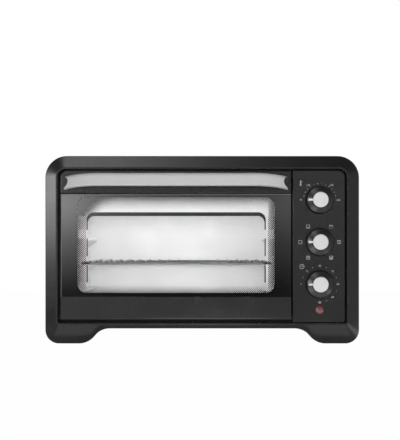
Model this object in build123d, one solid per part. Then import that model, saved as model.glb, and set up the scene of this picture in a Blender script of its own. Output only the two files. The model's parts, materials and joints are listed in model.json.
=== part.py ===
from build123d import *
import math
import os

# Toaster oven. Millimetres, +X to the right, +Y into the oven, +Z up.
# The origin is on the table, under the middle of the whole oven.

# Front frame
FASCIA_W = 450.0
FASCIA_H = 269.0
FASCIA_DEPTH = 28.0
FASCIA_WALL = 2.5
FASCIA_R_TOP = 31.0
FASCIA_R_BOTTOM = 19.5
BEVEL_DROP = 9.0
RIM_R = 2.0
FRAME_SIDE = 18.4
FRAME_TOP = 18.9
OPENING_Z = 29.3
OPENING_R_TOP = 11.0
OPENING_R_BOTTOM = 3.0
RETURN_DEPTH = 11.0
FRAME_BOSS_R = 4.0
FRAME_BOSS_INSET = 40.0
ARCH_Z = 21.6
FOOT_FLAT = 28.9
FOOT_CURVE_R = 27.9

# Depths, counted from the front lip of the frame
BODY_DEPTH = 306.0
HANDLE_REACH = 28.0
FACE_SET = 1.0
PLATE_GAP = 2.0

# Sheet metal
CASE_T = 1.0
PLATE_T = 1.0
CAVITY_T = 0.8
FLANGE = 10.0
SHEET_FIT = 0.3
CASE_FIT = 0.5

# Door
DOOR_THICK = 12.0
DOOR_GAP_SIDE = 4.5
DOOR_GAP_TOP = 3.2
DOOR_GAP_BOTTOM = 4.5
DOOR_PANEL_GAP = 2.5
TOP_RAIL_H = 31.5
BOTTOM_RAIL_H = 33.5
RAIL_LIP = 1.5
RAIL_EDGE_R = 0.8
RAIL_SKIN = 2.5
RAIL_TOE_R = 3.0
RAIL_POCKETS = 5
RAIL_RIB = 3.0
GLASS_T = 4.0
GLASS_FIT = 0.3
GLASS_GRIP = 8.0
GLASS_EDGE = 0.6
PAD_T = 1.0
PAD_LENGTH = 40.0

# Handle
HANDLE_INSET = 5.0
HANDLE_H = 18.6
HANDLE_T = 9.0
HANDLE_STRAIGHT = 220.0
HANDLE_END_REACH = 8.2
HANDLE_TILT = 12.0
HANDLE_Z = 16.0
HANDLE_SAG = 1.8
HANDLE_GAP = 0.5
HANDLE_BROW_R = 6.5
HANDLE_EDGE_R = 1.2
FISHTAIL = 6.0
POST_D = 12.0
POST_INSET = 20.0

# Screws
SCREW_D = 4.0
SCREW_HEAD_D = 7.0
SCREW_HEAD_H = 2.0
SCREW_FIT = 0.2
SCREW_BITE = 5.0

# Hinge
PIN_D = 4.0
PIN_DEPTH = 14.0
PIN_FIT = 0.05
HINGE_BACK = 7.0
HINGE_UP = 3.4
BRACKET_T = 1.5
BRACKET_GAP = 0.5
BRACKET_FOOT = 14.0
BRACKET_H = 22.0
BRACKET_EYE_R = 5.0

# Control panel, knobs and lamp
PANEL_W = 74.2
PANEL_T = 2.5
PANEL_SKIRT = 8.0
PANEL_GAP_SIDE = 2.8
PANEL_GAP_TOP = 2.5
PANEL_GAP_BOTTOM = 1.7
PANEL_CORNER_R = 9.0
PANEL_LOW_R = 3.0
PANEL_EDGE_R = 0.6
KNOB_SHIFT = 1.1
KNOB_RISE = 54.25
KNOB_DROP = 42.05
KNOB_R = 20.5
KNOB_SKIRT_H = 14.0
KNOB_DRAFT = 1.9
KNOB_TOP_R = 12.4
KNOB_H = 18.5
KNOB_WALL = 2.2
KNOB_GAP = 0.5
KNOB_EDGE_R = 0.8
CAP_R = 11.0
CAP_EDGE_R = 1.2
CAP_PROUD = 3.0
CAP_SEAT = 1.0
POINTER_W = 2.9
POINTER_R = 17.0
POINTER_PROUD = 0.6
POINTER_SEAT = 0.8
SHAFT_D = 6.0
SHAFT_FLAT = 1.5
SHAFT_FIT = 0.05
SHAFT_BURIED = 8.0
SHAFT_HOLE_D = 9.0
BOSS_R = 5.5
LAMP_RISE = 17.7
LAMP_R = 6.0
LAMP_DOME = 3.6
LAMP_NECK_R = 4.5
LAMP_NECK_L = 6.0
LAMP_BODY_R = 5.5
LAMP_BODY_L = 18.0
PANEL_POST_R = 4.0
PANEL_POST_INSET_X = 18.0
PANEL_POST_INSET_Z = 12.0

# Controls behind the front plate
THERMOSTAT_W = 38.0
THERMOSTAT_H = 26.0
THERMOSTAT_L = 24.0
SWITCH_W = 40.0
SWITCH_L = 34.0
SWITCH_TABS = 6
TIMER_W = 52.0
TIMER_L = 32.0
BELL_R = 20.0
BELL_H = 9.0
BELL_T = 1.0
CONTROL_SCREW_PITCH = 28.0
CONTROL_BASE = 10.0
STACK_W = 12.0
TIMER_CORNER_R = 6.0
BELL_GAP = 2.0
BELL_EDGE_R = 6.0

# Oven cavity, set back from the edges of the door, and its mouth, set in from the cavity
CAVITY_INSET = 20.5
CAVITY_LIFT = 14.8
CAVITY_DROP = 25.5
REAR_SPACE = 16.4
WALL_RISE = 6.0
MOUTH_INSET = 15.1
MOUTH_SILL = 10.0
MOUTH_DROP = 33.0
MOUTH_R = 11.0
SHIELD_BAND = 5.3
SHIELD_SIDE = 1.8
SHIELD_R = 10.0
SHIELD_LIP = 8.0
PLATE_MARGIN = 5.0

# Rack and its guides
GUIDE_COUNT = 3
GUIDE_RISE = 26.2
GUIDE_DROP = 37.8
RACK_LEVEL = 1
GUIDE_REACH = 12.0
GUIDE_NOSE = 2.0
GUIDE_H = 12.0
GUIDE_END = 12.0
NOTCH_REACH = 11.5
NOTCH_H = 12.5
RACK_SIDE_GAP = 2.0
RACK_REST_GAP = 0.3
RACK_FRONT = 5.0
RACK_BACK = 16.0
RACK_CORNER_R = 12.0
RACK_ROD_D = 4.0
RACK_WIRE_D = 2.6
RACK_WIRE_PITCH = 15.5
RACK_WELD = 0.7

# Heating elements
HEATER_D = 7.0
HEATER_DROP = 16.0
HEATER_LIFT = 7.0
HEATER_SPACING = 120.0
HEATER_OUT = 10.0
BUSH_D = 12.0
BUSH_FLANGE_D = 18.0
BUSH_FLANGE_T = 3.0
BUSH_IN = 2.0
BUSH_FIT = 0.1
TAB_W = 6.3
TAB_T = 0.8
TAB_L = 12.0

# Case, base, rear cover and rear feet
VENT_L = 36.0
VENT_W = 3.5
VENT_PITCH = 11.0
VENT_COUNT = 9
VENT_INSET = 60.0
REAR_BULGE = 6.0
REAR_MARGIN = 45.0
REAR_CORNER_R = 20.0
REAR_VENT_ROWS = 6
REAR_VENT_L = 60.0
REAR_VENT_PITCH = 14.0
BASE_VENT_L = 50.0
FOOT_D_TOP = 30.0
FOOT_D_SOLE = 24.0
FOOT_INSET_X = 26.0
FOOT_INSET_Y = 34.0
FOOT_EDGE_R = 1.0
FOOT_WELL = 14.0
GLAND_BORE_D = 8.0
GLAND_D = 15.0
GLAND_FLANGE_D = 20.0
GLAND_FLANGE_T = 2.5
GLAND_IN = 6.0
GLAND_INSET_X = 60.0
GLAND_RISE = 20.0

# How near two edges lie to count as in one plane
SAME_PLANE = 0.01

# Worked-out places, with depths counted from the front lip
FRONT_Y = -(BODY_DEPTH - HANDLE_REACH) / 2
HALF_W = FASCIA_W / 2
OPENING_HALF = HALF_W - FRAME_SIDE
OPENING_TOP = FASCIA_H - FRAME_TOP
PANEL_RIGHT = OPENING_HALF - PANEL_GAP_SIDE
PANEL_LEFT = PANEL_RIGHT - PANEL_W
PANEL_BOTTOM = OPENING_Z + PANEL_GAP_BOTTOM
PANEL_TOP = OPENING_TOP - PANEL_GAP_TOP
DOOR_LEFT = -OPENING_HALF + DOOR_GAP_SIDE
DOOR_RIGHT = PANEL_LEFT - DOOR_PANEL_GAP
DOOR_X = (DOOR_LEFT + DOOR_RIGHT) / 2
DOOR_TOP = OPENING_TOP - DOOR_GAP_TOP
DOOR_BOTTOM = OPENING_Z + DOOR_GAP_BOTTOM
DOOR_BACK = FACE_SET + DOOR_THICK
TOP_RAIL_Z = DOOR_TOP - TOP_RAIL_H
BOTTOM_RAIL_TOP = DOOR_BOTTOM + BOTTOM_RAIL_H
GLASS_Y = FACE_SET + RAIL_LIP + GLASS_FIT
HINGE_Y = FACE_SET + HINGE_BACK
HINGE_Z = DOOR_BOTTOM + HINGE_UP
PLATE_Y = DOOR_BACK + PLATE_GAP
PLATE_BACK = PLATE_Y + PLATE_T
CASE_Z = ARCH_Z + FASCIA_WALL + CASE_FIT
CASE_HALF = HALF_W - FASCIA_WALL - CASE_FIT
CASE_TOP = FASCIA_H - FASCIA_WALL - CASE_FIT
CASE_R = FASCIA_R_TOP - FASCIA_WALL - CASE_FIT
CASE_END = BODY_DEPTH - REAR_BULGE - CASE_T
BASE_Z = CASE_Z + CASE_T
BASE_TOP = BASE_Z + CASE_T
FOOT_X = CASE_HALF - FOOT_INSET_X
FOOT_Y = CASE_END - FOOT_INSET_Y
MOUTH_Y = PLATE_BACK
SHIELD_Y = MOUTH_Y + CAVITY_T
CAVITY_Y = SHIELD_Y + CAVITY_T
CAVITY_BACK = CASE_END - REAR_SPACE
CAVITY_HALF = (DOOR_RIGHT - DOOR_LEFT) / 2 - CAVITY_INSET
CAVITY_FLOOR_Z = DOOR_BOTTOM + CAVITY_LIFT
CAVITY_CEILING_Z = DOOR_TOP - CAVITY_DROP
WALL_TOP = CAVITY_CEILING_Z + CAVITY_T + WALL_RISE
MOUTH_HALF = CAVITY_HALF - MOUTH_INSET
MOUTH_Z = CAVITY_FLOOR_Z + MOUTH_SILL
MOUTH_TOP_Z = CAVITY_CEILING_Z - MOUTH_DROP
GUIDE_LOW_Z = CAVITY_FLOOR_Z + GUIDE_RISE
GUIDE_PITCH = (MOUTH_TOP_Z - GUIDE_DROP - GUIDE_LOW_Z) / (GUIDE_COUNT - 1)
GUIDE_TOPS = [GUIDE_LOW_Z + i * GUIDE_PITCH for i in range(GUIDE_COUNT)]
RACK_HALF = MOUTH_HALF + NOTCH_REACH - RACK_SIDE_GAP
RACK_Z = GUIDE_TOPS[RACK_LEVEL] + RACK_REST_GAP + RACK_ROD_D / 2
RACK_Y = CAVITY_Y + RACK_FRONT
RACK_DEPTH = CAVITY_BACK - RACK_BACK - RACK_Y
KNOB_X = (PANEL_LEFT + PANEL_RIGHT) / 2 + KNOB_SHIFT
KNOB_Y = FACE_SET - KNOB_GAP
KNOB_TOP_Z = PANEL_TOP - KNOB_DROP
KNOB_LOW_Z = PANEL_BOTTOM + KNOB_RISE
KNOB_ZS = {
    "temperature": KNOB_TOP_Z,
    "function": (KNOB_TOP_Z + KNOB_LOW_Z) / 2,
    "timer": KNOB_LOW_Z,
}
LAMP_Z = PANEL_BOTTOM + LAMP_RISE
GLAND_Z = BASE_TOP + GLAND_RISE
UPPER_HEATER_Z = CAVITY_CEILING_Z - HEATER_DROP
LOWER_HEATER_Z = CAVITY_FLOOR_Z + HEATER_LIFT
HEATER_YS = [(CAVITY_Y + CAVITY_BACK + side * HEATER_SPACING) / 2 for side in (-1, 1)]


# Shared shapes


def deep(y):
    """Y of a depth counted from the front lip."""
    return FRONT_Y + y


def front_plane(y):
    """Front-view drawing plane at a depth: local x is X, local y is Z."""
    return Plane.XZ.offset(-deep(y))


def slab(sketch, near, far):
    """Front-view sketch made solid between two depths."""
    return extrude(front_plane(near) * sketch, amount=near - far)


def rect(x0, x1, z0, z1):
    return Pos((x0 + x1) / 2, (z0 + z1) / 2) * Rectangle(x1 - x0, z1 - z0)


def block(x0, x1, near, far, z0, z1):
    return slab(rect(x0, x1, z0, z1), near, far)


def corner_rect(x0, x1, z0, z1, r_top, r_bottom):
    """Rectangle with its upper and lower corners rounded apart."""
    shape = rect(x0, x1, z0, z1)
    middle = (z0 + z1) / 2
    if r_top > 0:
        shape = fillet(shape.vertices().filter_by(lambda v: v.Y > middle), r_top)
    if r_bottom > 0:
        shape = fillet(shape.vertices().filter_by(lambda v: v.Y < middle), r_bottom)
    return shape


def rod_x(x0, x1, y, z, radius):
    """Round bar along X at a depth and height."""
    return Pos((x0 + x1) / 2, deep(y), z) * Rot(0, 90, 0) * Cylinder(radius, x1 - x0)


def rod_y(x, z, near, far, radius):
    """Round bar along Y between two depths."""
    return slab(Pos(x, z) * Circle(radius), near, far)


def rod_z(x, y, z0, z1, radius):
    return Pos(x, deep(y), (z0 + z1) / 2) * Cylinder(radius, z1 - z0)


def edges_at_depth(shape, y):
    return shape.edges().filter_by_position(Axis.Y, deep(y) - SAME_PLANE, deep(y) + SAME_PLANE)


def screw_y(x, z, head_near, head_far, tip):
    """Screw along Y: a head between two depths and a shank to its tip."""
    seat = head_far if tip > head_far else head_near
    near, far = sorted((seat, tip))
    head = rod_y(x, z, head_near, head_far, SCREW_HEAD_D / 2)
    return head + rod_y(x, z, near, far, SCREW_D / 2)


def back_screws(places):
    """Screws put in from behind the front plate."""
    head = PLATE_BACK + SCREW_HEAD_H
    return [screw_y(x, z, PLATE_BACK, head, PLATE_Y - SCREW_BITE) for x, z in places]


def wrap_outline(inset):
    """Cross-section of the case: round shoulders, square lower corners."""
    half = CASE_HALF - inset
    return corner_rect(-half, half, CASE_Z + inset, CASE_TOP - inset, CASE_R - inset, 0)


# Front frame


def foot_curve():
    """Centres of the two arcs of a foot's inner curve, on the right, and their turn."""
    turn = math.acos(1 - ARCH_Z / (2 * FOOT_CURVE_R))
    swell_x = HALF_W - FASCIA_R_BOTTOM - FOOT_FLAT
    hollow_x = swell_x - 2 * FOOT_CURVE_R * math.sin(turn)
    return swell_x, hollow_x, turn


def frame_outline(inset):
    """Silhouette of the front frame and its feet, shrunk all round."""
    swell_x, hollow_x, turn = foot_curve()
    turn_deg = math.degrees(turn)
    side, top = HALF_W - inset, FASCIA_H - inset
    top_x, top_z = HALF_W - FASCIA_R_TOP, FASCIA_H - FASCIA_R_TOP
    foot_x = HALF_W - FASCIA_R_BOTTOM
    r_top, r_foot = FASCIA_R_TOP - inset, FASCIA_R_BOTTOM - inset
    r_swell, r_hollow = FOOT_CURVE_R - inset, FOOT_CURVE_R + inset
    hollow_z = ARCH_Z - FOOT_CURVE_R
    arch = ARCH_Z + inset
    return make_face(
        [
            Line((-top_x, top), (top_x, top)),
            CenterArc((top_x, top_z), r_top, 90, -90),
            Line((side, top_z), (side, FASCIA_R_BOTTOM)),
            CenterArc((foot_x, FASCIA_R_BOTTOM), r_foot, 0, -90),
            Line((foot_x, inset), (swell_x, inset)),
            CenterArc((swell_x, FOOT_CURVE_R), r_swell, -90, -turn_deg),
            CenterArc((hollow_x, hollow_z), r_hollow, 90 - turn_deg, turn_deg),
            Line((hollow_x, arch), (-hollow_x, arch)),
            CenterArc((-hollow_x, hollow_z), r_hollow, 90, turn_deg),
            CenterArc((-swell_x, FOOT_CURVE_R), r_swell, turn_deg - 90, -turn_deg),
            Line((-swell_x, inset), (-foot_x, inset)),
            CenterArc((-foot_x, FASCIA_R_BOTTOM), r_foot, -90, -90),
            Line((-side, FASCIA_R_BOTTOM), (-side, top_z)),
            CenterArc((-top_x, top_z), r_top, 180, -90),
        ]
    )


def frame_opening(grow):
    """Opening of the front frame, with one edge for each edge of the silhouette."""
    swell_x, hollow_x, turn = foot_curve()
    meet_x = (swell_x + hollow_x) / 2
    side, top, bottom = OPENING_HALF + grow, OPENING_TOP + grow, OPENING_Z - grow
    top_x, top_z = OPENING_HALF - OPENING_R_TOP, OPENING_TOP - OPENING_R_TOP
    low_x, low_z = OPENING_HALF - OPENING_R_BOTTOM, OPENING_Z + OPENING_R_BOTTOM
    r_top, r_low = OPENING_R_TOP + grow, OPENING_R_BOTTOM + grow
    xs = [low_x, swell_x, meet_x, hollow_x, -hollow_x, -meet_x, -swell_x, -low_x]
    sill = [Line((a, bottom), (b, bottom)) for a, b in zip(xs, xs[1:])]
    return make_face(
        [
            Line((-top_x, top), (top_x, top)),
            CenterArc((top_x, top_z), r_top, 90, -90),
            Line((side, top_z), (side, low_z)),
            CenterArc((low_x, low_z), r_low, 0, -90),
            *sill,
            CenterArc((-low_x, low_z), r_low, -90, -90),
            Line((-side, low_z), (-side, top_z)),
            CenterArc((-top_x, top_z), r_top, 180, -90),
        ]
    )


def bevelled_block(inset, back):
    """Bevel from the opening out to the rim, and the skirt behind it."""
    lip = front_plane(inset) * frame_opening(inset)
    rim = front_plane(BEVEL_DROP + inset) * frame_outline(inset)
    return loft([lip, rim], ruled=True) + slab(frame_outline(inset), BEVEL_DROP + inset, back)


def frame_boss_places():
    x = OPENING_HALF + FASCIA_WALL / 2 + FRAME_BOSS_R
    heights = (OPENING_Z + FRAME_BOSS_INSET, OPENING_TOP - FRAME_BOSS_INSET)
    return [(side * x, z) for side in (-1, 1) for z in heights]


def front_frame():
    shell = bevelled_block(0, FASCIA_DEPTH)
    shell = fillet(edges_at_depth(shell, BEVEL_DROP), RIM_R)
    hollow = bevelled_block(FASCIA_WALL, FASCIA_DEPTH)
    opening = slab(frame_opening(0), 0, FASCIA_DEPTH)
    lining = slab(frame_opening(FASCIA_WALL) - frame_opening(0), 0, RETURN_DEPTH)
    frame = shell - hollow - opening + lining
    for x, z in frame_boss_places():
        frame += rod_y(x, z, 0, PLATE_Y, FRAME_BOSS_R) & hollow
        frame -= rod_y(x, z, PLATE_Y - SCREW_BITE, PLATE_Y, SCREW_D / 2)
    return frame


def frame_screws():
    return back_screws(frame_boss_places())


# Case, base, rear cover and feet


def vent_row(count, length, width, pitch):
    """Upright slots in a row, drawn about the origin."""
    slot = Rot(0, 0, 90) * SlotOverall(length, width)
    return Sketch() + [Pos((i - (count - 1) / 2) * pitch, 0) * slot for i in range(count)]


def outer_case():
    """Sheet wrapped over top and sides, turned in below and behind."""
    front = PLATE_Y
    skin = slab(wrap_outline(0) - wrap_outline(CASE_T), front, CASE_END)
    gap = CASE_HALF - FLANGE
    skin -= block(-gap, gap, front, CASE_END, CASE_Z, CASE_Z + CASE_T)
    window = wrap_outline(FLANGE) + rect(-gap, gap, CASE_Z, CASE_TOP / 2)
    skin += slab(wrap_outline(CASE_T) - window, CASE_END - CASE_T, CASE_END)
    vent_y = deep(CASE_END - VENT_INSET - VENT_COUNT * VENT_PITCH / 2)
    for height in (CASE_TOP - VENT_INSET, CASE_Z + VENT_INSET):
        side_view = Plane((0, vent_y, height), x_dir=(0, 1, 0), z_dir=(1, 0, 0))
        slots = side_view * vent_row(VENT_COUNT, VENT_L, VENT_W, VENT_PITCH)
        skin -= extrude(slots, amount=CASE_HALF, both=True)
    for x, z in rear_screw_places():
        skin -= rod_y(x, z, CASE_END - CASE_T, CASE_END, SCREW_D / 2)
    return skin


def base_plate():
    half = CASE_HALF - CASE_T - SHEET_FIT
    back = CASE_END - CASE_T
    plate = block(-half, half, PLATE_BACK, back, BASE_Z, BASE_TOP)
    for x in (-half, half - CASE_T):
        plate += block(x, x + CASE_T, PLATE_BACK, back, BASE_TOP, BASE_TOP + FLANGE)
    slots = vent_row(VENT_COUNT, BASE_VENT_L, VENT_W, VENT_PITCH)
    middle = deep((PLATE_BACK + back) / 2)
    plate -= extrude(Plane((DOOR_X, middle, BASE_Z)) * slots, amount=CASE_T)
    for side in (-1, 1):
        plate -= rod_z(side * FOOT_X, FOOT_Y, BASE_Z, BASE_TOP, SCREW_D / 2)
    return plate


def rear_field(inset):
    """Outline of the raised field of the rear cover."""
    half = CASE_HALF - REAR_MARGIN - inset
    low, high = CASE_Z + REAR_MARGIN + inset, CASE_TOP - REAR_MARGIN - inset
    return corner_rect(-half, half, low, high, REAR_CORNER_R - inset, REAR_CORNER_R - inset)


def rear_cover():
    back = CASE_END + CASE_T
    cover = slab(wrap_outline(CASE_T), CASE_END, back)
    cover += slab(rear_field(0), CASE_END, BODY_DEPTH)
    cover -= slab(rear_field(CASE_T), CASE_END, BODY_DEPTH - CASE_T)
    for side in (-1, 1):
        for row in range(REAR_VENT_ROWS):
            height = (CASE_Z + CASE_TOP) / 2 + (row - (REAR_VENT_ROWS - 1) / 2) * REAR_VENT_PITCH
            slot = Pos(side * CASE_HALF / 3, height) * SlotOverall(REAR_VENT_L, VENT_W)
            cover -= slab(slot, CASE_END, BODY_DEPTH)
    gland_x = CASE_HALF - GLAND_INSET_X
    cover -= rod_y(gland_x, GLAND_Z, CASE_END, BODY_DEPTH, GLAND_D / 2)
    for x, z in rear_screw_places():
        cover -= rod_y(x, z, CASE_END, back, SCREW_D / 2 + SCREW_FIT)
    return cover


def rear_screw_places():
    side, top = CASE_HALF - FLANGE / 2, CASE_TOP - FLANGE / 2
    low, high = CASE_Z + 2 * FLANGE, CASE_TOP - CASE_R - FLANGE
    return [(x, z) for x in (-side, side) for z in (low, high)] + [(-side / 2, top), (side / 2, top)]


def rear_screws():
    back = CASE_END + CASE_T
    tip = CASE_END - SCREW_BITE
    return [screw_y(x, z, back, back + SCREW_HEAD_H, tip) for x, z in rear_screw_places()]


def rear_foot(side):
    """Tapered foot under the back of the base plate, with a well for its screw."""
    foot = loft([Plane.XY * Circle(FOOT_D_SOLE / 2), Plane.XY.offset(BASE_Z) * Circle(FOOT_D_TOP / 2)])
    foot = fillet(foot.edges().group_by(Axis.Z)[0], FOOT_EDGE_R)
    foot = Pos(side * FOOT_X, deep(FOOT_Y), 0) * foot
    foot -= rod_z(side * FOOT_X, FOOT_Y, 0, FOOT_WELL, SCREW_HEAD_D / 2 + SCREW_FIT)
    return foot - rod_z(side * FOOT_X, FOOT_Y, FOOT_WELL, BASE_Z, SCREW_D / 2 + SCREW_FIT)


def foot_screws():
    screws = []
    for side in (-1, 1):
        head = rod_z(side * FOOT_X, FOOT_Y, FOOT_WELL - SCREW_HEAD_H, FOOT_WELL, SCREW_HEAD_D / 2)
        screws.append(head + rod_z(side * FOOT_X, FOOT_Y, FOOT_WELL, BASE_TOP + SCREW_BITE, SCREW_D / 2))
    return screws


def cord_gland():
    x, back = CASE_HALF - GLAND_INSET_X, CASE_END + CASE_T
    gland = rod_y(x, GLAND_Z, CASE_END - GLAND_IN, back, GLAND_D / 2)
    gland += rod_y(x, GLAND_Z, back, back + GLAND_FLANGE_T, GLAND_FLANGE_D / 2)
    gland += rod_y(x, GLAND_Z, CASE_END - GLAND_IN, CASE_END - GLAND_IN / 2, GLAND_FLANGE_D / 2)
    return gland - rod_y(x, GLAND_Z, CASE_END - GLAND_IN, back + GLAND_FLANGE_T, GLAND_BORE_D / 2)


# Chassis front plate and oven mouth


def mouth_notches():
    """Side notches that let the rack out of the mouth, one pair to each guide."""
    half = MOUTH_HALF + NOTCH_REACH
    return [rect(DOOR_X - half, DOOR_X + half, top, top + NOTCH_H) for top in GUIDE_TOPS]


def front_plate():
    inset = CASE_T + SHEET_FIT
    plate = slab(wrap_outline(inset), PLATE_Y, PLATE_BACK)
    rim = wrap_outline(inset) - wrap_outline(inset + PLATE_T)
    rim -= rect(-CASE_HALF, CASE_HALF, CASE_Z, BASE_TOP + FLANGE + SHEET_FIT)
    plate += slab(rim, PLATE_BACK, PLATE_BACK + FLANGE)
    half = CAVITY_HALF + PLATE_MARGIN
    window = rect(DOOR_X - half, DOOR_X + half, MOUTH_Z - PLATE_MARGIN, TOP_RAIL_Z + PLATE_MARGIN)
    plate -= slab(window, PLATE_Y, PLATE_BACK)
    for z in KNOB_ZS.values():
        plate -= rod_y(KNOB_X, z, PLATE_Y, PLATE_BACK, SHAFT_HOLE_D / 2)
    screws = frame_boss_places() + panel_post_places() + bracket_screw_places() + control_screw_places()
    for x, z in screws:
        plate -= rod_y(x, z, PLATE_Y, PLATE_BACK, SCREW_D / 2 + SCREW_FIT)
    return plate - rod_y(KNOB_X, LAMP_Z, PLATE_Y, PLATE_BACK, LAMP_BODY_R + CASE_FIT)


def oven_front():
    """Bright plate with the notched mouth."""
    half = CAVITY_HALF + FLANGE
    plate = rect(DOOR_X - half, DOOR_X + half, BASE_TOP, WALL_TOP)
    mouth = corner_rect(
        DOOR_X - MOUTH_HALF, DOOR_X + MOUTH_HALF, MOUTH_Z, MOUTH_TOP_Z, MOUTH_R, MOUTH_R
    )
    return slab(plate - mouth - mouth_notches(), MOUTH_Y, SHIELD_Y)


def rect_corners(x0, x1, z0, z1, grow):
    """Corner points of a rectangle grown all round, anticlockwise from the lower left."""
    left, right, low, high = x0 - grow, x1 + grow, z0 - grow, z1 + grow
    return [(left, low), (right, low), (right, high), (left, high)]


def mitred_strips(sheet, x0, x1, z0, z1, bite):
    """Sheet round a mouth cut along the mouth's diagonals: lower, right, upper and left strip."""
    size = sheet.bounding_box().size
    inner = rect_corners(x0, x1, z0, z1, -bite)
    outer = rect_corners(x0, x1, z0, z1, max(size.X, size.Y))
    strips = []
    for i in range(len(inner)):
        j = (i + 1) % len(inner)
        strips.append(sheet & make_face(Polyline([inner[i], inner[j], outer[j], outer[i]], close=True)))
    return strips


def mouth_shield():
    """Dark sheet behind the mouth in four mitred strips, showing as a band along its top."""
    outer = CAVITY_HALF + FLANGE - CASE_T
    half, top = MOUTH_HALF - SHIELD_SIDE, MOUTH_TOP_Z - SHIELD_BAND
    left, right = DOOR_X - half, DOOR_X + half
    plate = rect(DOOR_X - outer, DOOR_X + outer, BASE_TOP, WALL_TOP - CASE_T)
    sheet = plate - corner_rect(left, right, MOUTH_Z, top, SHIELD_R, SHIELD_R) - mouth_notches()
    flats = mitred_strips(sheet, left, right, MOUTH_Z, top, SHIELD_R)
    lower, right_strip, upper, left_strip = [slab(flat, SHIELD_Y, CAVITY_Y) for flat in flats]
    upper += block(left + SHIELD_R, right - SHIELD_R, CAVITY_Y, CAVITY_Y + SHIELD_LIP, top, top + CAVITY_T)
    return [lower, right_strip, upper, left_strip]


# Oven cavity


def guide_profile(top, reach, under, inset):
    """Section of a pressed rack guide on the left wall, as distance inward and height."""
    slope = (GUIDE_H - GUIDE_NOSE) / GUIDE_REACH
    lift = inset * (math.hypot(1, slope) - slope)
    points = [(under, top - inset), (reach, top - inset)]
    points += [(reach, top - GUIDE_NOSE + lift), (under, top - GUIDE_H + lift)]
    return make_face(Polyline(points, close=True))


def cavity_wall(side):
    """Side wall with its pressed guides. side is -1 for the left, 1 for the right."""
    wall = block(-CAVITY_T, 0, CAVITY_Y, CAVITY_BACK, BASE_TOP, WALL_TOP)
    for near in (CAVITY_Y, CAVITY_BACK - CAVITY_T):
        wall += block(-FLANGE, 0, near, near + CAVITY_T, BASE_TOP, WALL_TOP)
    near, far = CAVITY_Y + GUIDE_END, CAVITY_BACK - GUIDE_END
    for top in GUIDE_TOPS:
        wall += slab(guide_profile(top, GUIDE_REACH, 0, 0), near, far)
        hollow = guide_profile(top, GUIDE_REACH - CAVITY_T, -CAVITY_T, CAVITY_T)
        wall -= slab(hollow, near + CAVITY_T, far - CAVITY_T)
    for y in HEATER_YS:
        for z in (UPPER_HEATER_Z, LOWER_HEATER_Z):
            wall -= rod_x(-CAVITY_T, 0, y, z, BUSH_D / 2 + BUSH_FIT)
    wall = Pos(-CAVITY_HALF, 0, 0) * wall
    if side > 0:
        wall = mirror(wall, Plane.YZ)
    return Pos(DOOR_X, 0, 0) * wall


def cavity_ceiling():
    x0, x1 = DOOR_X - CAVITY_HALF, DOOR_X + CAVITY_HALF
    top = CAVITY_CEILING_Z + CAVITY_T
    sheet = block(x0, x1, CAVITY_Y, CAVITY_BACK, CAVITY_CEILING_Z, top)
    for x in (x0, x1 - CAVITY_T):
        sheet += block(x, x + CAVITY_T, CAVITY_Y, CAVITY_BACK, top, WALL_TOP)
    return sheet


def cavity_floor():
    x0, x1 = DOOR_X - CAVITY_HALF, DOOR_X + CAVITY_HALF
    under = CAVITY_FLOOR_Z - CAVITY_T
    sheet = block(x0, x1, CAVITY_Y, CAVITY_BACK, under, CAVITY_FLOOR_Z)
    for x in (x0, x1 - CAVITY_T):
        sheet += block(x, x + CAVITY_T, CAVITY_Y, CAVITY_BACK, BASE_TOP, under)
    return sheet


def cavity_back():
    half = CAVITY_HALF + FLANGE
    return block(DOOR_X - half, DOOR_X + half, CAVITY_BACK, CAVITY_BACK + CAVITY_T, BASE_TOP, WALL_TOP)


# Heating elements


def heater_ends():
    """X of each heater end, with the way out of the cavity."""
    reach = CAVITY_HALF + CAVITY_T + HEATER_OUT
    return [(DOOR_X - reach, -1), (DOOR_X + reach, 1)]


def heaters(z):
    (left, _), (right, _) = heater_ends()
    return [rod_x(left, right, y, z, HEATER_D / 2) for y in HEATER_YS]


def heater_bushes():
    """Ceramic bushes in the side walls."""
    bushes = []
    for side in (-1, 1):
        inner, wall = CAVITY_HALF - BUSH_IN, CAVITY_HALF + CAVITY_T
        for y in HEATER_YS:
            for z in (UPPER_HEATER_Z, LOWER_HEATER_Z):
                bush = rod_x(inner, wall, y, z, BUSH_D / 2)
                bush += rod_x(wall, wall + BUSH_FLANGE_T, y, z, BUSH_FLANGE_D / 2)
                bush -= rod_x(inner, wall + BUSH_FLANGE_T, y, z, HEATER_D / 2 + BUSH_FIT)
                if side < 0:
                    bush = mirror(bush, Plane.YZ)
                bushes.append(Pos(DOOR_X, 0, 0) * bush)
    return bushes


def heater_tabs():
    tabs = []
    for end, out in heater_ends():
        x0, x1 = sorted((end, end + out * TAB_L))
        for y in HEATER_YS:
            for z in (UPPER_HEATER_Z, LOWER_HEATER_Z):
                tabs.append(block(x0, x1, y - TAB_T / 2, y + TAB_T / 2, z - TAB_W / 2, z + TAB_W / 2))
    return tabs


# Wire rack


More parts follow.
